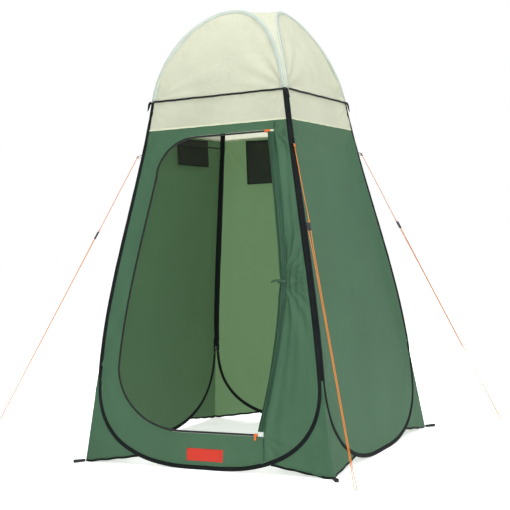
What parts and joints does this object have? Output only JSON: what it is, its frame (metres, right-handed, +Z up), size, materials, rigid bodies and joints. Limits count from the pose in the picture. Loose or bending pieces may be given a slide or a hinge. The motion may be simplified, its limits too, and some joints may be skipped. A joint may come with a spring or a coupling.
{
  "type": "privacy shower tent",
  "caption": "Upright pop-up cabin with a tied-back zipped door, domed pale roof, spring hoops in dark bindings and corded corners.",
  "frame": {"origin": "on the ground under the middle of the tent's square base", "axes": "+Z up, +Y from the door towards the back wall, +X towards the wall on the right of someone facing the door from outside"},
  "size_m": [1.8582, 1.8582, 2.0196],
  "materials": {
    "green_cloth": "thin woven polyester, coated, dull sheen",
    "cream_cloth": "thin woven polyester, slightly see-through",
    "pale_sleeve": "folded tape, matt",
    "black_binding": "ribbed binding tape, matt",
    "spring_steel": "flat bright wire",
    "orange_cord": "braided cord",
    "orange_plastic": "moulded, satin",
    "black_plastic": "moulded, matt",
    "black_mesh": "knitted netting",
    "red_label": "woven label, plain"
  },
  "bodies": {
    "tent": {"hoop_front": "spring_steel", "binding_front": "black_binding", "arch_sleeve_front": "pale_sleeve", "cream_band_front": "cream_cloth", "arch_panel_front": "cream_cloth", "ring_tape_front": "black_binding", "hoop_right": "spring_steel", "binding_right": "black_binding", "arch_sleeve_right": "pale_sleeve", "cream_band_right": "cream_cloth", "arch_panel_right": "cream_cloth", "ring_tape_right": "black_binding", "hoop_back": "spring_steel", "binding_back": "black_binding", "arch_sleeve_back": "pale_sleeve", "cream_band_back": "cream_cloth", "arch_panel_back": "cream_cloth", "ring_tape_back": "black_binding", "hoop_left": "spring_steel", "binding_left": "black_binding", "arch_sleeve_left": "pale_sleeve", "cream_band_left": "cream_cloth", "arch_panel_left": "cream_cloth", "ring_tape_left": "black_binding", "wall_front": "green_cloth", "hinge_panel": "green_cloth", "wall_right": "green_cloth", "wall_back": "green_cloth", "wall_left": "green_cloth", "gusset_front_right": "green_cloth", "gusset_back_right": "green_cloth", "gusset_back_left": "green_cloth", "gusset_front_left": "green_cloth", "roof_star": "cream_cloth", "zip_track": "black_binding", "sill_label": "red_label", "pocket_left": "black_mesh", "pocket_back": "black_mesh", "hanging_strap": "black_binding", "guy_line_front_right": "orange_cord", "guy_runner_front_right": "black_plastic", "guy_line_back_right": "orange_cord", "guy_runner_back_right": "black_plastic", "guy_line_back_left": "orange_cord", "guy_runner_back_left": "black_plastic", "guy_line_front_left": "orange_cord", "guy_runner_front_left": "black_plastic"},
    "door_flap": {"door_flap": "green_cloth", "flap_tie": "green_cloth"},
    "top_slider": {"zip_slider_top": "orange_plastic"},
    "bottom_slider": {"zip_slider_bottom": "orange_plastic"},
    "top_pull": {"zip_pull_top": "orange_plastic"},
    "bottom_pull": {"zip_pull_bottom": "orange_plastic"},
    "loop_front_right": {"peg_loop_front_right": "black_binding"},
    "loop_back_right": {"peg_loop_back_right": "black_binding"},
    "loop_back_left": {"peg_loop_back_left": "black_binding"},
    "loop_front_left": {"peg_loop_front_left": "black_binding"}
  },
  "joints": [
    {"name": "door_flap_swing", "type": "hinge", "parent": "tent", "child": "door_flap", "pos_m": [0.27253, -0.58435, 0.172], "axis": [0.0026, -0.16, -0.9871], "range_deg": [0, 100]},
    {"name": "top_slider_slide", "type": "slide", "parent": "tent", "child": "top_slider", "axis": [1, 0, 0], "range_m": [-0.3, 0]},
    {"name": "bottom_slider_slide", "type": "slide", "parent": "tent", "child": "bottom_slider", "axis": [1, 0, 0], "range_m": [-0.3, 0]},
    {"name": "top_pull_swing", "type": "hinge", "parent": "top_slider", "child": "top_pull", "pos_m": [0.2525, -0.3703, 1.43507], "axis": [0, -0.9851, 0.1722], "range_deg": [0, 180]},
    {"name": "bottom_pull_swing", "type": "hinge", "parent": "bottom_slider", "child": "bottom_pull", "pos_m": [0.2525, -0.57737, 0.15696], "axis": [0, -0.991, 0.1336], "range_deg": [-90, 90]},
    {"name": "loop_swing_front_right", "type": "hinge", "parent": "tent", "child": "loop_front_right", "pos_m": [0.6012, -0.6012, 0.012], "axis": [-0.7071, -0.7071, 0], "range_deg": [0, 90]},
    {"name": "loop_swing_back_right", "type": "hinge", "parent": "tent", "child": "loop_back_right", "pos_m": [0.6012, 0.6012, 0.012], "axis": [0.7071, -0.7071, 0], "range_deg": [0, 90]},
    {"name": "loop_swing_back_left", "type": "hinge", "parent": "tent", "child": "loop_back_left", "pos_m": [-0.6012, 0.6012, 0.012], "axis": [0.7071, 0.7071, 0], "range_deg": [0, 90]},
    {"name": "loop_swing_front_left", "type": "hinge", "parent": "tent", "child": "loop_front_left", "pos_m": [-0.6012, -0.6012, 0.012], "axis": [-0.7071, 0.7071, 0], "range_deg": [0, 90]}
  ]
}
